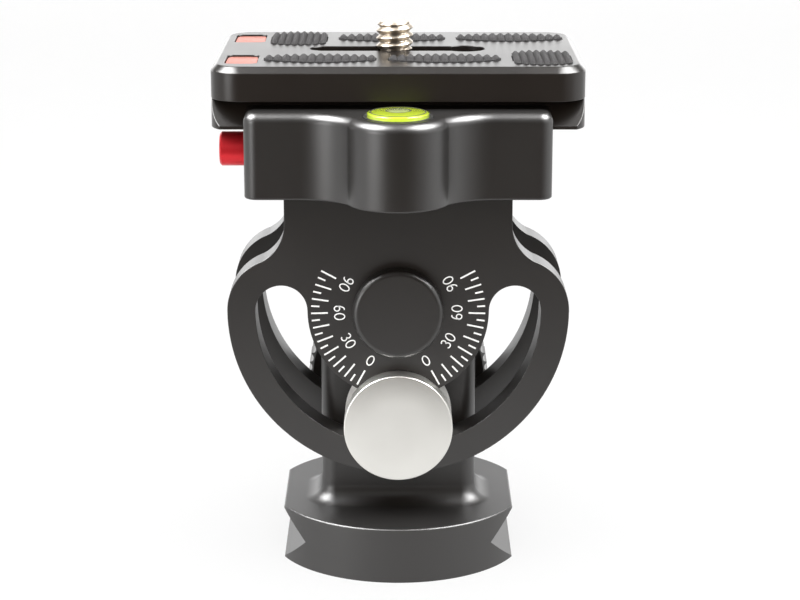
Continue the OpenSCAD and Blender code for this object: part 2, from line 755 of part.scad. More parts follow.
// Places its child at each wide pad: the front right and the back left end of the rows
module at_wide_pads() {
    translate([pad_left + 2 * pad_step + wide_l / 2, -wide_y]) children();
    translate([pad_left + wide_l / 2, wide_y]) children();
}

module narrow_outline(play = 0) pad_outline(narrow_l + 2 * play, narrow_w + 2 * play, narrow_bow);
module wide_outline(play = 0) pad_outline(wide_l + 2 * play, wide_w + 2 * play, wide_bow);

module plate_body() color(anodised) difference() {
    intersection() {
        translate([0, 0, plate_z]) chamfered_slab(plate_l, plate_w, plate_t, plate_corner, plate_chamfer);
        beam(-plate_l, plate_l) plate_section();
    }
    translate([0, 0, plate_z - over]) linear_extrude(plate_t + 2 * over) {
        long_slot(slot_left, slot_right, screw_slot_w);
        translate([entry_x, 0]) circle(r = entry_r);
    }
    translate([0, 0, plate_z - over]) linear_extrude(pocket_z - plate_z + over)
        long_slot(slot_left - pocket_r + neck_r, slot_right + pocket_r - neck_r, 2 * pocket_r);
    translate([0, -button_y, plate_z - over]) linear_extrude(pin_groove_d + over)
        long_slot(pin_x - plate_travel - pin_groove_w / 2, pin_x + plate_travel + pin_groove_w / 2,
            pin_groove_w);
    translate([0, 0, plate_top - pad_seat]) linear_extrude(pad_seat + over) {
        at_narrow_pads() narrow_outline(seat_gap);
        at_wide_pads() wide_outline(seat_gap);
    }
    for (side = [-1, 1])
        translate([insert_x, side * pad_y, plate_top - insert_sunk - insert_t]) linear_extrude(plate_t)
            round_rect(insert_l + 2 * seat_gap, insert_w + 2 * seat_gap, insert_corner + seat_gap);
}

module narrow_pads() color(rubber)
    translate([0, 0, plate_top - pad_seat + fit]) linear_extrude(pad_seat + pad_proud)
        at_narrow_pads() narrow_outline();

module wide_pads() color(rubber)
    translate([0, 0, plate_top - pad_seat + fit]) linear_extrude(pad_seat + pad_proud)
        at_wide_pads() wide_outline();

module plate_inserts() color(red) for (side = [-1, 1])
    translate([insert_x, side * pad_y, plate_top - insert_sunk - insert_t + fit])
        linear_extrude(insert_t - fit) round_rect(insert_l, insert_w, insert_corner);

// Camera screw

module screw_washer() color(rubber) translate([screw_x, 0, washer_z]) difference() {
    cylinder(r = head_r, h = screw_washer_t);
    translate([0, 0, -over]) cylinder(r = neck_r + fit, h = screw_washer_t + 2 * over);
}

module camera_screw() color(steel) translate([screw_x, 0, 0]) difference() {
    slot_depth = 1.2;
    slot_width = 1.6;
    lead = 0.6;
    rotate_extrude() polygon([[0, head_z], [head_r - turned_edge, head_z], [head_r, head_z + turned_edge],
        [head_r, head_z + head_t], [neck_r, head_z + head_t], [neck_r, plate_top + fit],
        [screw_r, plate_top + fit], [screw_r, plate_top + screw_up - lead],
        [screw_r - lead, plate_top + screw_up], [0, plate_top + screw_up]]);
    translate([-head_r - over, -slot_width / 2, head_z - over])
        cube([2 * (head_r + over), slot_width, slot_depth + over]);
}

base_post();
thread_bush();
pivot_axle();
friction_washers();
lock_bolt();
slot_washers();
thrust_washer();
lock_knob();
lock_knob_insert();
lock_knob_cap();
front_cheek();
rear_cheek();
pivot_bushes();
pivot_cap_front();
pivot_cap_rear();
clamp_body();
cheek_screws();
level_cup();
level_vial();
clamp_stud();
jaw_guide_pins();
jaw_springs();
button_bush();
button_spring();
clamp_jaw();
jaw_washer();
clamp_knob();
clamp_knob_insert();
clamp_knob_cap();
safety_button();
safety_pin();
plate_body();
narrow_pads();
wide_pads();
plate_inserts();
screw_washer();
camera_screw();
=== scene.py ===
from math import radians

import bmesh
import bpy
import numpy as np
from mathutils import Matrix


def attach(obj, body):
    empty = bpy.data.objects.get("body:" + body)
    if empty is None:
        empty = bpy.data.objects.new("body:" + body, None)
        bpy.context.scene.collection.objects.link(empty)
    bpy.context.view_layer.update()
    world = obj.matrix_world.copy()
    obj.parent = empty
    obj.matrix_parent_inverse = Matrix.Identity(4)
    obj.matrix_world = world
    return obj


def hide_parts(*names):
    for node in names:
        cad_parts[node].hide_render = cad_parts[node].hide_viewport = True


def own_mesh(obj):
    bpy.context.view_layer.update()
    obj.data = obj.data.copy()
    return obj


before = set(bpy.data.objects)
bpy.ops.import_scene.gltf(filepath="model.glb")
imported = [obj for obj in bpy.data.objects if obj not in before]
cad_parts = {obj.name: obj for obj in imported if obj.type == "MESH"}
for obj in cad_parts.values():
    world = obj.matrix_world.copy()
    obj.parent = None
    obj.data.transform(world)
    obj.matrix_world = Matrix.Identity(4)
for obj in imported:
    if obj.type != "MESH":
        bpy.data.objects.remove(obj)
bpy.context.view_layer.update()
mm = 0.001


# Base and post
# One block of aluminium: a round foot with a V notch along both sides, and a post with a round top.
# It is milled, its edges are broken, and it is anodised a matt black.

class Flow:
    """A shader output that takes part in Python arithmetic: each operator adds one Math node."""

    def __init__(self, tree, socket=None):
        self.tree, self.socket = tree, socket

    def node(self, kind, settings=None, out=0, **inputs):
        """Adds a node of any type: settings first, then a value or a link for each socket, by name or iN."""
        made = self.tree.nodes.new("ShaderNode" + kind)
        for key, value in (settings or {}).items():
            setattr(made, key, value)
        for key, value in inputs.items():
            numbered = key[0] == "i" and key[1:].isdigit()
            socket = made.inputs[int(key[1:])] if numbered else made.inputs[key.replace("_", " ")]
            if isinstance(value, Flow):
                self.tree.links.new(value.socket, socket)
            else:
                socket.default_value = value
        return Flow(self.tree, made.outputs[out])

    def math(self, operation, other, swapped=False):
        """One Math node on this output and another output or number."""
        first, second = (other, self) if swapped else (self, other)
        return self.node("Math", {"operation": operation}, i0=first, i1=second)

    def __add__(self, other):
        return self.math("ADD", other)

    def __sub__(self, other):
        return self.math("SUBTRACT", other)

    def __rsub__(self, other):
        return self.math("SUBTRACT", other, True)

    def __mul__(self, other):
        return self.math("MULTIPLY", other)

    def __pow__(self, other):
        return self.math("POWER", other)

    __radd__, __rmul__ = __add__, __mul__

    def mix(self, low, high):
        """A colour between low and high, by this output from 0 to 1."""
        return self.node("Mix", {"data_type": "RGBA"}, 2, i0=self, i6=low, i7=high)

    def noise(self, scale, detail=2):
        """Noise from 0 to 1 in space, with that many cells to the metre."""
        return self.node("TexNoise", Vector=self, Scale=scale, Detail=detail)

    def bump(self, depth, strength):
        """A normal for this output as a height, depth metres from 0 to 1."""
        return self.node("Bump", Height=self, Distance=depth, Strength=strength)


def new_finish(name, **constants):
    """An empty finish: a call that links flows to its surface, and the coordinates of the piece itself."""
    finish = bpy.data.materials.new(name)
    finish.use_nodes = True
    tree = finish.node_tree
    surface = tree.nodes["Principled BSDF"]
    for key, value in constants.items():
        surface.inputs[key.replace("_", " ")].default_value = value

    def feed(**flows):
        for key, flow in flows.items():
            tree.links.new(flow.socket, surface.inputs[key.replace("_", " ")])
        return finish

    return feed, Flow(tree).node("TexCoord", out="Object")


def anodised_finish(name, dullness, index=1.76, dark=(0.0042, 0.0028, 0.002), pale=(0.008, 0.0056, 0.004)):
    """Anodised black: blasted grain a tenth of a millimetre across, and slow drifts in shade and gloss.
    The index says how much light the oxide skin throws back over the dye's dark and pale blacks."""
    feed, place = new_finish(name, IOR=index)
    grain, drift = place.noise(9000, 3), place.noise(70)
    shade = drift * 0.6 + grain * 0.4
    return feed(
        Base_Color=shade.mix((*dark, 1), (*pale, 1)),
        Roughness=dullness + drift * 0.06 + grain * 0.05,
        Normal=grain.bump(0.004 * mm, 0.5),
    )


def eased(node, body, finish, radius, crown=None, spare=(0, 0, 0)):
    """A copy of a CAD node with doubles merged, flat faces joined and sharp edges rounded to a radius in mm.
    With a crown radius, the upright walls' edges on the topmost plane get that one, but for those
    inside the spare circle, which is given by its middle and radius."""
    merge_gap, level_gap, upright_lean = 1e-6, 1e-5, 0.1
    flat_turn, sharp_turn = radians(0.5), radians(32)
    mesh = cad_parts[node].data.copy()
    work = bmesh.new()
    work.from_mesh(mesh)
    bmesh.ops.remove_doubles(work, verts=work.verts, dist=merge_gap)
    bmesh.ops.dissolve_limit(work, angle_limit=flat_turn, verts=work.verts, edges=work.edges)
    work.to_mesh(mesh)
    work.free()
    mesh.materials.clear()
    mesh.materials.append(finish)
    mesh.polygons.foreach_set("use_smooth", np.ones(len(mesh.polygons), bool))

    spots, ends = np.empty((len(mesh.vertices), 3)), np.empty((len(mesh.edges), 2), int)
    mesh.vertices.foreach_get("co", spots.ravel())
    mesh.edges.foreach_get("vertices", ends.ravel())
    sides, corner_edges = np.empty((len(mesh.polygons), 3)), np.empty(len(mesh.loops), int)
    mesh.polygons.foreach_get("normal", sides.ravel())
    mesh.loops.foreach_get("edge_index", corner_edges)
    counts = np.empty(len(mesh.polygons), int)
    mesh.polygons.foreach_get("loop_total", counts)
    faces = np.repeat(np.arange(len(counts)), counts)
    pairs = sides[faces[np.argsort(corner_edges, kind="stable")].reshape(-1, 2)]
    sharp = (pairs[:, 0] * pairs[:, 1]).sum(1) < np.cos(sharp_turn)
    largest = crown or radius
    weights = np.where(sharp, radius / largest, 0.0)
    if crown:
        middles = spots[ends].mean(1)
        on_top = spots[ends][..., 2].min(1) > spots[:, 2].max() - level_gap
        upright = np.abs(pairs[..., 2]).min(1) < upright_lean
        outside = np.hypot(middles[:, 0] / mm - spare[0], middles[:, 1] / mm - spare[1]) > spare[2]
        weights[sharp & on_top & upright & outside] = 1.0
    mesh.attributes.new("bevel_weight_edge", "FLOAT", "EDGE").data.foreach_set("value", weights)

    piece = bpy.data.objects.new(node + "_eased", mesh)
    bpy.context.scene.collection.objects.link(piece)
    rounding = piece.modifiers.new("rounding", "BEVEL")
    rounding.width, rounding.segments = largest * mm, 6 if crown else 3
    rounding.limit_method, rounding.loop_slide, rounding.use_clamp_overlap = "WEIGHT", False, not crown
    piece.modifiers.new("shading", "WEIGHTED_NORMAL").keep_sharp = True
    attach(piece, body)
    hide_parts(node)


matt_black = anodised_finish("matt_black_anodised", 0.36)
eased("base_post", "base", matt_black, 0.25)


# Thread bush
# A steel bush pressed into the underside, with the three-eighths-inch thread that takes a monopod's stud.
# It is turned and tapped, and its mouth is countersunk.

def skin(name, body, finish, parts):
    """A closed mesh from stacks of rings: each part is rows of points round a loop, joined row to row.
    A part whose rows also form a loop is joined end to end, and any other is closed by its end rows."""
    merge_gap, sharp_turn = 1e-8, radians(35)
    points, faces, start = [], [], 0
    for rings, looped in parts:
        rows, cols = rings.shape[:2]
        index = start + np.arange(rows * cols).reshape(rows, cols)
        after = np.roll(index, -1, axis=0) if looped else index[1:]
        here = index if looped else index[:-1]
        quads = np.stack([here, np.roll(here, -1, 1), np.roll(after, -1, 1), after], -1).reshape(-1, 4)
        faces += quads.tolist()
        if not looped:
            faces += [index[0][::-1].tolist(), index[-1].tolist()]
        points.append(rings.reshape(-1, 3))
        start += rows * cols
    mesh = bpy.data.meshes.new(name)
    mesh.from_pydata(np.concatenate(points) * mm, [], faces)
    work = bmesh.new()
    work.from_mesh(mesh)
    bmesh.ops.remove_doubles(work, verts=work.verts, dist=merge_gap)
    bmesh.ops.recalc_face_normals(work, faces=work.faces)
    work.to_mesh(mesh)
    work.free()
    mesh.polygons.foreach_set("use_smooth", np.ones(len(mesh.polygons), bool))
    mesh.set_sharp_from_angle(angle=sharp_turn)
    mesh.materials.append(finish)
    piece = bpy.data.objects.new(name, mesh)
    bpy.context.scene.collection.objects.link(piece)
    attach(piece, body)
    return piece


def turned(profile, centre, axis, steps=96):
    """Rings of a turned piece: a profile's radii and heights carried round an axis, Y or Z, at a centre."""
    radius, height = np.array(profile, float).T[..., None]
    angle = np.linspace(0, 2 * np.pi, steps, endpoint=False)
    across, along = radius * np.cos(angle), radius * np.sin(angle)
    height = np.repeat(height, steps, 1)
    order = (across, height, along) if axis == "Y" else (across, along, height)
    return np.stack(order, -1) + np.array(centre, float)


def steel_finish():
    """Machined steel: a fine grain, and small changes of colour and gloss."""
    feed, place = new_finish("machined_steel", Metallic=1.0)
    grain, drift = place.noise(5200), place.noise(320)
    return feed(
        Base_Color=drift.mix((0.42, 0.36, 0.29, 1), (0.56, 0.5, 0.42, 1)),
        Roughness=0.22 + grain * 0.12 + drift * 0.06,
        Normal=grain.bump(0.004 * mm, 0.5),
    )


def thread_height(angle, height, pitch):
    """The V thread: 0 in the root and 1 on the crest, one pitch higher for each turn, with flats on both."""
    steepness = 1.35
    phase = (height / pitch - angle / (2 * np.pi)) % 1
    return np.clip(steepness * np.abs(2 * phase - 1) - (steepness - 1) / 2, 0, 1)


steel = steel_finish()
bush_length, bush_minor, bush_major, bush_outer, bush_pitch = 11, 3.97, 4.7, 6.5, 1.5875
mouth_r, bush_sides, bush_rows = 4.9, 96, 112
angle = np.linspace(0, 2 * np.pi, bush_sides, endpoint=False)[:, None]
wall = np.linspace(0, bush_length, bush_rows)
bore = bush_major - (bush_major - bush_minor) * thread_height(angle, wall, bush_pitch)
bore = np.maximum(bore, mouth_r - wall)
outside = np.full((bush_sides, 1), bush_outer)
radius = np.concatenate([outside, bore, outside], 1)
height = np.broadcast_to(np.concatenate([[0], wall, [bush_length]]), radius.shape)
rings = np.stack([radius * np.cos(angle), radius * np.sin(angle), height], -1)
bush = skin("monopod_thread", "base", steel, [(rings, True)])
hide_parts("thread_bush")


# Pivot axle and friction washers
# A ground steel axle crosses the post's top in two bronze bushes, and thin polymer washers keep
# the cheeks off the post. Only their edges show.

def dress(nodes, finish):
    """CAD nodes keep their shape and get a finish."""
    for node in nodes:
        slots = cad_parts[node].data.materials
        slots.clear()
        slots.append(finish)


def polymer_finish():
    """Black moulded polymer: soft grain, and a dull gloss."""
    feed, place = new_finish("black_polymer")
    grain = place.noise(6000)
    return feed(
        Base_Color=grain.mix((0.014, 0.014, 0.014, 1), (0.03, 0.03, 0.03, 1)),
        Roughness=0.45 + grain * 0.15,
        Normal=grain.bump(0.01 * mm, 0.5),
    )


def bronze_finish():
    """Turned bronze: warm metal with fine drifts of tarnish."""
    feed, place = new_finish("turned_bronze", Metallic=1.0)
    drift, grain = place.noise(500), place.noise(7000)
    return feed(
        Base_Color=drift.mix((0.45, 0.29, 0.1, 1), (0.62, 0.44, 0.18, 1)),
        Roughness=0.28 + grain * 0.14,
    )


polymer, bronze = polymer_finish(), bronze_finish()
dress(["pivot_axle"], steel)
dress(["friction_washers"], polymer)
dress(["pivot_bushes"], bronze)


# Cheeks
# Two aluminium plates on either side of the post, each with a half-round slot about the tilt axis.
# They are milled from plate, black anodised, and carry the clamp on their necks.

black = anodised_finish("satin_black_anodised", 0.31)
eased("front_cheek", "head", black, 0.3)
eased("rear_cheek", "head", black, 0.3)


# Tilt scale
# Fine cuts in the front cheek, filled with white paint: a tick every five degrees on both sides
# of the lock bolt and the numbers 0, 30, 60 and 90, with their feet turned to the ticks.

def paint_finish():
    """White filling paint, a little uneven."""
    feed, place = new_finish("white_filling", Roughness=0.5)
    return feed(Base_Color=place.noise(4000).mix((0.78, 0.78, 0.76, 1), (0.9, 0.9, 0.88, 1)))


def ribbon(path, width, right, up, centre, looped):
    """Rings of a flat stroke: a path of x and y, as wide as given, turned and laid on the cheek's face."""
    if looped:
        step = np.roll(path, -1, 0) - np.roll(path, 1, 0)
    else:
        step = np.gradient(path, axis=0)
    step = step / np.linalg.norm(step, axis=1, keepdims=True)
    side = np.stack([-step[:, 1], step[:, 0]], 1) * width / 2
    plan = np.stack([path - side, path + side, path + side, path - side], 1)
    flat = np.asarray(centre) + plan[..., :1] * right + plan[..., 1:] * up
    depth = np.broadcast_to([cheek_face - paint_proud] * 2 + [cheek_face + cut_depth] * 2, plan.shape[:2])
    return np.stack([flat[..., 0], depth, flat[..., 1]], -1), looped


def oval(x, y, half_width, half_height, first, last, steps=28):
    """Points along an ellipse from one angle to another, in degrees."""
    angle = np.radians(np.linspace(first, last, steps))
    return np.stack([x + half_width * np.cos(angle), y + half_height * np.sin(angle)], 1)


cheek_face, tilt_z, paint_proud, cut_depth = -14.1, 45.0, 0.02, 0.1
tick_first, tick_step, ticks, ticks_to_number = 28.4, 5, 19, 6
tick_outer, tick_long, tick_short, tick_width = 14.4, 11.63, 13.05, 0.27
digit_height, digit_step, digit_r, digit_width = 1.95, 1.36, 9.7, 0.2
six = [(oval(0, -0.2, 0.21, 0.23, 0, 347), True), (oval(0.06, -0.14, 0.265, 0.56, 176, 78, 16), False)]
digits = {
    "0": [(oval(0, 0, 0.26, 0.43, 0, 347), True)],
    "3": [(np.concatenate([oval(-0.02, 0.215, 0.19, 0.2, 150, -80, 16),
                           oval(-0.02, -0.2, 0.22, 0.22, 80, -150, 18)]), False)],
    "6": six,
    "9": [(-path, looped) for path, looped in six],
}
marks = []
for side in (-1, 1):
    for step in range(ticks):
        turn = radians(tick_first + tick_step * step)
        out = np.array([side * np.sin(turn), -np.cos(turn)])
        across = np.array([-out[1], out[0]])
        inner = tick_long if step % 2 == 0 else tick_short
        path = np.stack([np.zeros(2), [inner, tick_outer]], 1)
        marks.append(ribbon(path, tick_width, across, out, (0, tilt_z), False))
        if step % ticks_to_number == 0:
            number = str(tick_step * step)
            for place, digit in enumerate(number):
                shift = (place - (len(number) - 1) / 2) * digit_step
                centre = np.array([0, tilt_z]) + digit_r * out + shift * across
                for path, looped in digits[digit]:
                    marks.append(ribbon(path * digit_height, digit_width, across, -out, centre, looped))
skin("tilt_scale", "head", paint_finish(), marks)


# Pivot caps
# Turned aluminium caps close the axle's bore in both cheeks. They are pressed into shallow seats,
# and are black anodised like the cheeks.

eased("pivot_cap_front", "head", black, 0.12)
eased("pivot_cap_rear", "head", black, 0.12)


# Lock bolt and washers
# A stainless bolt through both arc slots and the post. Its big round head is faced on a lathe, so
# fine rings run round it, and its rim is broken. Blasted washers lie between cheeks and post.

def faced_finish(x, z):
    """Lathe-faced stainless: rings of uneven depth about an axis along Y, read from the distance to it."""
    feed, place = new_finish("lathe_faced_steel", Metallic=1.0)
    point = place.node("SeparateXYZ", i0=place)
    high = Flow(place.tree, point.socket.node.outputs[2])
    reach = ((point - x) ** 2 + (high - z) ** 2) ** 0.5
    rings = reach.node("TexNoise", {"noise_dimensions": "1D"}, W=reach, Scale=9000, Detail=3)
    drift = place.noise(160)
    return feed(
        Base_Color=drift.mix((0.78, 0.77, 0.73, 1), (0.86, 0.85, 0.81, 1)),
        Roughness=0.3 + rings * 0.14,
        Normal=rings.bump(0.004 * mm, 0.6),
    )


lock_z = 25.7
faced = faced_finish(0, lock_z * mm)
head_face, head_back, head_r, head_edge, back_edge = -17.55, -14.15, 9.05, 0.22, 0.1
face_ring_r, shank_r, shank_end = 4.5, 4.0, 20.45
angle = np.linspace(0, np.pi / 2, 5)
round_edge = np.stack([head_r - head_edge * (1 - np.sin(angle)),
                       head_face + head_edge * (1 - np.cos(angle))], 1)
head_and_shank = [(head_r, head_back - back_edge), (head_r - back_edge, head_back), (shank_r, head_back),
                  (shank_r, shank_end), (0, shank_end)]
bolt_profile = np.concatenate([[(0, head_face), (face_ring_r, head_face)], round_edge, head_and_shank])
bolt_rings = turned(bolt_profile, (0, 0, lock_z), "Y")
bolt = skin("lock_bolt_turned", "base", faced, [(bolt_rings, False)])
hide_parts("lock_bolt")


def blasted_finish():
    """Blasted silver washers: a fine matt grain, and a pale colour that is partly their own silver and
    partly painted light, so that they stay bright in the shade of the bolt's head.
    """
    feed, place = new_finish("blasted_silver", Metallic=0.25)
    grain = place.noise(8000, 3)
    return feed(
        # Pale colour: the washers' silver, lifted as painted light against the shade of the bolt's head.
        Base_Color=grain.mix((0.74, 0.73, 0.7, 1), (0.86, 0.85, 0.82, 1)),
        Roughness=0.5 + grain * 0.15,
        Normal=grain.bump(0.006 * mm, 0.5),
    )


dress(["slot_washers", "thrust_washer"], blasted_finish())


# Lock knob
# A large aluminium knob with a straight knurl, screwed on the bolt's rear end by a brass insert.
# The knurl is milled, then the knob is anodised with the rest.

eased("lock_knob", "lock_knob", black, 0.14)
eased("lock_knob_cap", "lock_knob", black, 0.12)
dress(["lock_knob_insert"], bronze)


# Clamp
# The fixed jaw and floor are milled from one block with a round nose for the level, and the moving
# jaw behind it runs on a stud and two guide pins. The block's upper edges are rounded the most.

level_y, level_rim_r = -26.7, 6
eased("clamp_body", "head", black, 0.35, 1.6, (0, level_y, level_rim_r))
eased("clamp_jaw", "clamp_jaw", black, 0.8)
dress(["cheek_screws", "clamp_stud", "jaw_guide_pins", "jaw_springs", "jaw_washer"], steel)


# Round level
# A clear acrylic vial of yellow-green liquid with a bubble, in a black cup that is glued into the nose.
# The vial's top is slightly domed, and thin black rings mark its middle and its edge.

def liquid_finish():
    """Tinted liquid behind clear acrylic: yellow-green, uneven, under a clear coat, with a small painted
    glow in its own tint.
    """
    # The emission is a painted glow: it lifts the liquid's brightness by itself, without a lamp.
    feed, place = new_finish("level_liquid", Roughness=0.12, Coat_Weight=1.0, Coat_Roughness=0.03,
                             Emission_Strength=0.1)
    tint = place.noise(900).mix((0.6, 0.82, 0.03, 1), (0.78, 0.92, 0.08, 1))
    return feed(Base_Color=tint, Emission_Color=tint)


def bubble_finish():
    """The bubble: paler than the liquid."""
    feed, place = new_finish("level_bubble", Roughness=0.05, Coat_Weight=1.0)
    return feed(Base_Color=place.noise(1500).mix((0.72, 0.86, 0.3, 1), (0.82, 0.92, 0.45, 1)))


vial_r, vial_foot, vial_top, dome_rise = 4.9, 75.4, 80.75, 0.42
level_at = (0, level_y, 0)
dome_foot = vial_top - dome_rise
angle = np.linspace(0, np.pi / 2, 12)
dome = np.stack([vial_r * np.cos(angle), dome_foot + dome_rise * np.sin(angle)], 1)
vial_profile = np.concatenate([[(0, vial_foot), (vial_r, vial_foot)], dome])
vial_rings = turned(vial_profile, level_at, "Z")
vial = skin("level_vial_domed", "head", liquid_finish(), [(vial_rings, False)])
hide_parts("level_vial")

line_proud = 0.03
angle = np.linspace(0, 2 * np.pi, 10, endpoint=False)
lines = []
for line_r, half_width in ((1.9, 0.13), (4.35, 0.12)):
    line_top = dome_foot + dome_rise * np.sqrt(1 - (line_r / vial_r) ** 2)
    line = np.stack([line_r + half_width * np.cos(angle), line_top + line_proud * np.sin(angle)], 1)
    lines.append((np.swapaxes(turned(line, level_at, "Z"), 0, 1), True))
skin("level_mark", "head", polymer, lines)

bubble_r, bubble_sunk, bubble_half = 1.8, 0.06, 0.1
angle = np.linspace(-np.pi / 2, np.pi / 2, 14)
bubble = np.stack([bubble_r * np.cos(angle), vial_top - bubble_sunk + bubble_half * np.sin(angle)], 1)
skin("level_bubble", "head", bubble_finish(), [(turned(bubble, level_at, "Z"), False)])
dress(["level_cup"], polymer)


# Clamp knob
# A smaller knurled knob behind the moving jaw, milled and anodised like the lock knob.
# Its brass insert runs on the stud's thread.

eased("clamp_knob", "clamp_knob", black, 0.14)
eased("clamp_knob_cap", "clamp_knob", black, 0.12)
dress(["clamp_knob_insert"], bronze)


# Safety catch
# A red anodised push button at the clamp's left end. Its cone lowers a steel stop pin that keeps
# the plate from sliding out, and a spring pushes it back.

def red_finish():
    """Red anodised aluminium: clear deep colour over metal, with a fine grain."""
    feed, place = new_finish("red_anodised", Metallic=0.55)
    grain, drift = place.noise(5000), place.noise(200)
    return feed(
        Base_Color=drift.mix((0.6, 0.014, 0.022, 1), (0.74, 0.026, 0.036, 1)),
        Roughness=0.24 + grain * 0.12,
        Normal=grain.bump(0.003 * mm, 0.5),
    )


dress(["safety_button"], red_finish())
dress(["safety_pin", "button_bush", "button_spring"], steel)
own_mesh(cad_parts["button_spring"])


# Camera plate
# A milled aluminium plate with a dovetail along both sides, a slot for the camera screw and pockets
# for the pads. Its top edge is chamfered, and it is black anodised.

plate_dark, plate_pale = (0.009, 0.0065, 0.005), (0.015, 0.011, 0.0085)
plate_black = anodised_finish("blasted_black_anodised", 0.24, 1.5, plate_dark, plate_pale)
eased("plate_body", "plate", plate_black, 0.16)


# Rubber pads
# Ribbed rubber strips glued into shallow pockets: long leaf-shaped ones and short wide ones.
# Their ribs are wavy and run straight across, so that the pad's edge is scalloped.

def rubber_finish():
    """Dark grey rubber: fine grain, dull, a little paler where it is rubbed."""
    feed, place = new_finish("ribbed_rubber", Specular_IOR_Level=0.12)
    grain, drift = place.noise(7000, 3), place.noise(260)
    return feed(
        Base_Color=(drift * 0.5 + grain * 0.5).mix((0.04, 0.038, 0.039, 1), (0.075, 0.072, 0.073, 1)),
        Roughness=0.62 + grain * 0.2,
        Normal=grain.bump(0.012 * mm, 0.6),
    )


def pad_rings(x, y, length, width, bow, ribs):
    """Rings across a pad: its half width falls by the bow towards both ends, and its crown is a wave with
    one rib to each period, lower at the edges. Each ring goes over the crown and back along the floor."""
    rib_points, points_across, scallop, groove_share, edge_fall = 12, 17, 0.13, 0.1, 0.96
    u = np.linspace(-1, 1, ribs * rib_points + 1)[:, None]
    v = np.linspace(-1, 1, points_across)[None]
    rib = np.sqrt(0.5 - 0.5 * np.cos(np.pi * (u + 1) * ribs))
    half = (width / 2 - bow * u ** 2) * (1 - scallop + scallop * rib)
    edge = np.sqrt(1 - np.abs(v) ** 5 * edge_fall)
    crown = plate_top + pad_proud * (groove_share + (1 - groove_share) * rib * edge)
    along = x + np.broadcast_to(u * length / 2, crown.shape)
    across = y + v * half
    over = np.stack([along, across, crown], -1)
    under = np.stack([along, across, np.full(crown.shape, plate_top - pad_sunk)], -1)[:, ::-1]
    return np.concatenate([over, under], 1), False


plate_top, pad_proud, pad_sunk, pad_y, wide_y = 86.5, 0.6, 0.7, 11.8, 10.9
narrow_length, narrow_width, narrow_bow, narrow_ribs = 18, 7.6, 2.6, 13
wide_length, wide_width, wide_bow, wide_ribs = 9.4, 15, 1.8, 8
rubber = rubber_finish()
narrow_at = [(-12.6, -pad_y), (7.5, -pad_y), (-1.1, pad_y), (19.0, pad_y)]
wide_at = [(23.3, -wide_y), (-16.9, wide_y)]
narrow = skin("narrow_pads_ribbed", "plate", rubber,
              [pad_rings(x, y, narrow_length, narrow_width, narrow_bow, narrow_ribs) for x, y in narrow_at])
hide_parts("narrow_pads")
wide = skin("wide_pads_ribbed", "plate", rubber,
            [pad_rings(x, y, wide_length, wide_width, wide_bow, wide_ribs) for x, y in wide_at])
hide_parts("wide_pads")


# Red inserts
# Two red pieces at the bottom of windows at the plate's left end. They are moulded in plastic,
# and glued in a little below the plate's top.

def insert_finish():
    """Red moulded insert with a bright satin skin."""
    feed, place = new_finish("red_insert")
    grain = place.noise(3000)
    return feed(
        Base_Color=grain.mix((0.6, 0.17, 0.12, 1), (0.66, 0.2, 0.14, 1)),
        Roughness=0.36 + grain * 0.08,
    )


def block_rings(x, y, long, wide, low, high):
    """Rings up a moulded block: a squared oval, both coordinates to a low power, drawn in at the brim."""
    power = 0.3
    angle = np.linspace(0, 2 * np.pi, 96, endpoint=False)
    circle = np.stack([np.cos(angle), np.sin(angle)], -1)
    outline = np.sign(circle) * np.abs(circle) ** power * (long / 2, wide / 2)
    share = np.array([1, 1, 0.985, 0.96])[:, None, None]
    height = np.array([low, high - 0.1, high - 0.03, high])[:, None, None]
    plan = outline * share + (x, y)
    return np.concatenate([plan, np.broadcast_to(height, (*plan.shape[:2], 1))], -1), False


insert_x, insert_long, insert_wide = -25.25, 5, 8.8
insert_foot, insert_top = plate_top - 1.6, plate_top - 0.25
blocks = [block_rings(insert_x, y, insert_long, insert_wide, insert_foot, insert_top)
          for y in (-pad_y, pad_y)]
inserts = skin("plate_inserts_moulded", "plate", insert_finish(), blocks)
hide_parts("plate_inserts")


# Camera screw
# A steel quarter-inch screw with a narrow shank, kept in the plate's slot by a washer. Its thread is
# rolled, and its end is chamfered.

screw_x, screw_root, screw_crest, screw_pitch = -0.6, 2.5, 3.05, 1.27
screw_foot, screw_end, end_r, end_slope = 86.55, 91.1, 2.4, 1.1
angle = np.linspace(0, 2 * np.pi, 72, endpoint=False)
height = np.linspace(screw_foot, screw_end, 76)[:, None]
reach = screw_root + (screw_crest - screw_root) * thread_height(angle, height, screw_pitch)
reach = np.minimum(reach, end_r + end_slope * (screw_end - height))
height = np.broadcast_to(height, reach.shape)
rings = np.stack([screw_x + reach * np.cos(angle), reach * np.sin(angle), height], -1)
head_z, head_top, screw_head_r, head_chamfer = 78.05, 80.85, 5.5, 0.3
neck_r, neck_top = 2.35, screw_foot + 0.02
shank = [(0, head_z), (screw_head_r - head_chamfer, head_z), (screw_head_r, head_z + head_chamfer),
         (screw_head_r, head_top), (neck_r, head_top), (neck_r, neck_top), (0, neck_top)]
screw = skin("camera_screw_threaded", "camera_screw", steel,
             [(rings, False), (turned(shank, (screw_x, 0, 0), "Z", 64), False)])
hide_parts("camera_screw")
dress(["screw_washer"], polymer)


# Floor, light and camera
# A pale floor with a white wall of light behind it, soft boxes above, in front and at both sides, a dark
# card in front and a grey ceiling. The camera stands where the picture's stood.

def backdrop_rays(start):
    """1 for the rays that show the backdrop: those of the camera, of gloss and of clear pieces."""
    seen, glossy, clear = [start.node("LightPath", out="Is " + kind + " Ray")
                           for kind in ("Camera", "Glossy", "Transmission")]
    return seen.math("MAXIMUM", glossy).math("MAXIMUM", clear)


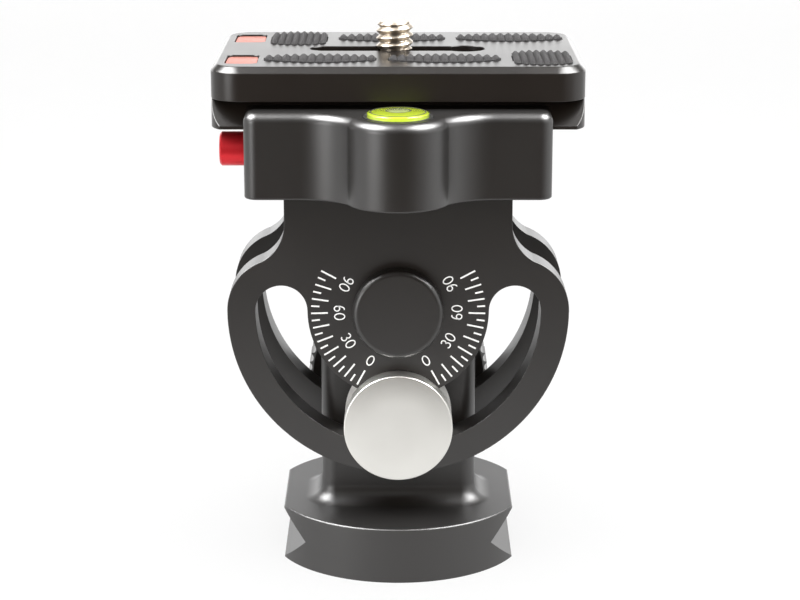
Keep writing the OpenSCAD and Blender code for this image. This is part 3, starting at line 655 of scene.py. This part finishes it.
def floor_finish():
    """Pale floor: the camera and gloss see it mostly plain white, the rest takes light and shadow."""
    finish = bpy.data.materials.new("pale_floor")
    finish.use_nodes = True
    tree = finish.node_tree
    tree.nodes.remove(tree.nodes["Principled BSDF"])
    start, plain_share = Flow(tree), 0.78
    seen = backdrop_rays(start) * plain_share
    matt = start.node("BsdfDiffuse", Color=(0.9, 0.9, 0.9, 1))
    white = start.node("Emission", Color=(1, 1, 1, 1), Strength=1.0)
    mixed = start.node("MixShader", i0=seen, i1=matt, i2=white)
    tree.links.new(mixed.socket, tree.nodes["Material Output"].inputs["Surface"])
    return finish


floor_side, floor_front, floor_back = 6, -0.15, 8
floor_corners = [(-floor_side, floor_front, 0), (floor_side, floor_front, 0),
                 (floor_side, floor_back, 0), (-floor_side, floor_back, 0)]
floor_mesh = bpy.data.meshes.new("floor")
floor_mesh.from_pydata(floor_corners, [], [(0, 1, 2, 3)])
floor_mesh.materials.append(floor_finish())
floor = bpy.data.objects.new("floor", floor_mesh)
bpy.context.scene.collection.objects.link(floor)


def plain_card(name, colour, edges, reach):
    """A matt card of the room, out of the camera's sight: flat strips from edge to edge, each edge given by
    its y and z, and reaching as far as reach to both sides."""
    finish = bpy.data.materials.new(name)
    finish.use_nodes = True
    surface = finish.node_tree.nodes["Principled BSDF"]
    surface.inputs["Base Color"].default_value = (*colour, 1)
    surface.inputs["Roughness"].default_value = 0.9
    mesh = bpy.data.meshes.new(name)
    corners = [(x, y, z) for y, z in edges for x in (-reach, reach)]
    mesh.from_pydata(corners, [], [(n, n + 2, n + 3, n + 1) for n in range(0, 2 * len(edges) - 2, 2)])
    mesh.materials.append(finish)
    card = bpy.data.objects.new(name, mesh)
    card.visible_camera = False
    bpy.context.scene.collection.objects.link(card)


card_front, card_top, card_side = -1.2, 0.6, 2
card_edges = ((floor_front, 0), (card_front, 0), (card_front, card_top))
plain_card("front_card", (0.05, 0.036, 0.026), card_edges, card_side)
ceiling_side, ceiling_height = 8, 1
ceiling_edges = ((-ceiling_side, ceiling_height), (ceiling_side, ceiling_height))
plain_card("grey_ceiling", (0.5, 0.49, 0.48), ceiling_edges, ceiling_side)

ambient = 0.3
world = bpy.data.worlds.new("room")
bpy.context.scene.world = world
world.use_nodes = True
sky = Flow(world.node_tree)
back = world.node_tree.nodes["Background"]
back.inputs["Color"].default_value = (1, 1, 1, 1)
strength = ambient + backdrop_rays(sky) * (1 - ambient)
world.node_tree.links.new(strength.socket, back.inputs["Strength"])


def turned_to(way):
    """Euler angles that turn a lamp's own -Z to a direction."""
    return np.arctan2(np.hypot(way[0], way[1]), -way[2]), 0, np.arctan2(-way[0], way[1])


def soft_box(name, place, wide, high, brightness, matt=True, gloss=True):
    """An area lamp that faces the part and shines as brightly as a wall of that strength, on matt
    surfaces, in gloss, or both."""
    lamp = bpy.data.lights.new(name, "AREA")
    lamp.shape, lamp.size, lamp.size_y = "RECTANGLE", wide, high
    lamp.energy = brightness * np.pi * wide * high
    box = bpy.data.objects.new(name, lamp)
    box.location = place
    box.rotation_euler = turned_to(np.subtract(part_middle, place))
    box.visible_camera, box.visible_diffuse, box.visible_glossy = False, matt, gloss
    bpy.context.scene.collection.objects.link(box)


part_middle = (0, 0, 0.05)
soft_box("left_box", (-0.5, -0.42, 0.06), 0.4, 0.28, 3.6)
soft_box("left_strip", (-0.49, -0.41, 0.06), 0.2, 0.28, 3.8, matt=False)
soft_box("right_box", (0.64, -0.2, 0.14), 1.0, 0.44, 0.95)
soft_box("front_fill", (0, -0.7, 0.35), 0.6, 0.5, 4.6, gloss=False)
soft_box("left_sheen", (-0.36, -0.06, 0.54), 0.48, 0.4, 28, matt=False)
soft_box("right_sheen", (0.36, -0.06, 0.54), 0.48, 0.4, 25, matt=False)
soft_box("top_box", (0, 0, 0.75), 1.0, 0.7, 3.0, gloss=False)
soft_box("back_wall", (0, 1.0, 0.22), 2.4, 0.46, 2.0)

camera_place, camera_pitch = (0.0003, -0.3786, 0.1424), 14.685
view = bpy.data.cameras.new("view")
view.sensor_fit, view.sensor_width = "HORIZONTAL", 36
view.lens = 102.76
view.clip_start, view.clip_end = 0.01, 50
camera = bpy.data.objects.new("view", view)
camera.location = camera_place
camera.rotation_euler = (radians(90 - camera_pitch), 0, 0)
bpy.context.scene.collection.objects.link(camera)
bpy.context.scene.camera = camera
bpy.context.scene.view_settings.view_transform = "Standard"
